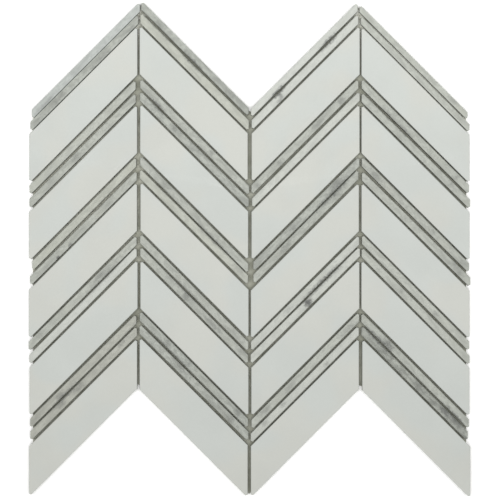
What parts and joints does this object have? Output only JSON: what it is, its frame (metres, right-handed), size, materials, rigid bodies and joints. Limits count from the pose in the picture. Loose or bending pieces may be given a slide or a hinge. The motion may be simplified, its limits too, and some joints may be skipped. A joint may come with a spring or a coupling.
{
  "type": "chevron mosaic tile sheet",
  "caption": "Net-mounted chevron mosaic sheet for walls: wide white stone chips between thin grey-veined marble strips, with open joints for grout.",
  "frame": {"origin": "middle of the sheet's footprint, at the underside of the net", "axes": "+X across the columns, +Y along the columns towards the chevron peaks, +Z out of the stone face"},
  "size_m": [0.3038, 0.3398, 0.0102],
  "materials": {
    "white_stone": "satin",
    "veined_marble": "satin",
    "coated_yarn": "matte",
    "cured_resin": "satin"
  },
  "bodies": {
    "root": {"wide_chip_col1_row1": "white_stone", "strips_col1_row1": "veined_marble", "wide_chip_col1_row2": "white_stone", "strips_col1_row2": "veined_marble", "wide_chip_col1_row3": "white_stone", "strips_col1_row3": "veined_marble", "wide_chip_col1_row4": "white_stone", "strips_col1_row4": "veined_marble", "wide_chip_col1_row5": "white_stone", "strips_col1_row5": "veined_marble", "wide_chip_col2_row1": "white_stone", "strips_col2_row1": "veined_marble", "wide_chip_col2_row2": "white_stone", "strips_col2_row2": "veined_marble", "wide_chip_col2_row3": "white_stone", "strips_col2_row3": "veined_marble", "wide_chip_col2_row4": "white_stone", "strips_col2_row4": "veined_marble", "wide_chip_col2_row5": "white_stone", "strips_col2_row5": "veined_marble", "wide_chip_col3_row1": "white_stone", "strips_col3_row1": "veined_marble", "wide_chip_col3_row2": "white_stone", "strips_col3_row2": "veined_marble", "wide_chip_col3_row3": "white_stone", "strips_col3_row3": "veined_marble", "wide_chip_col3_row4": "white_stone", "strips_col3_row4": "veined_marble", "wide_chip_col3_row5": "white_stone", "strips_col3_row5": "veined_marble", "wide_chip_col4_row1": "white_stone", "strips_col4_row1": "veined_marble", "wide_chip_col4_row2": "white_stone", "strips_col4_row2": "veined_marble", "wide_chip_col4_row3": "white_stone", "strips_col4_row3": "veined_marble", "wide_chip_col4_row4": "white_stone", "strips_col4_row4": "veined_marble", "wide_chip_col4_row5": "white_stone", "strips_col4_row5": "veined_marble", "net_warp": "coated_yarn", "net_weft": "coated_yarn", "resin_film": "cured_resin"}
  },
  "joints": []
}
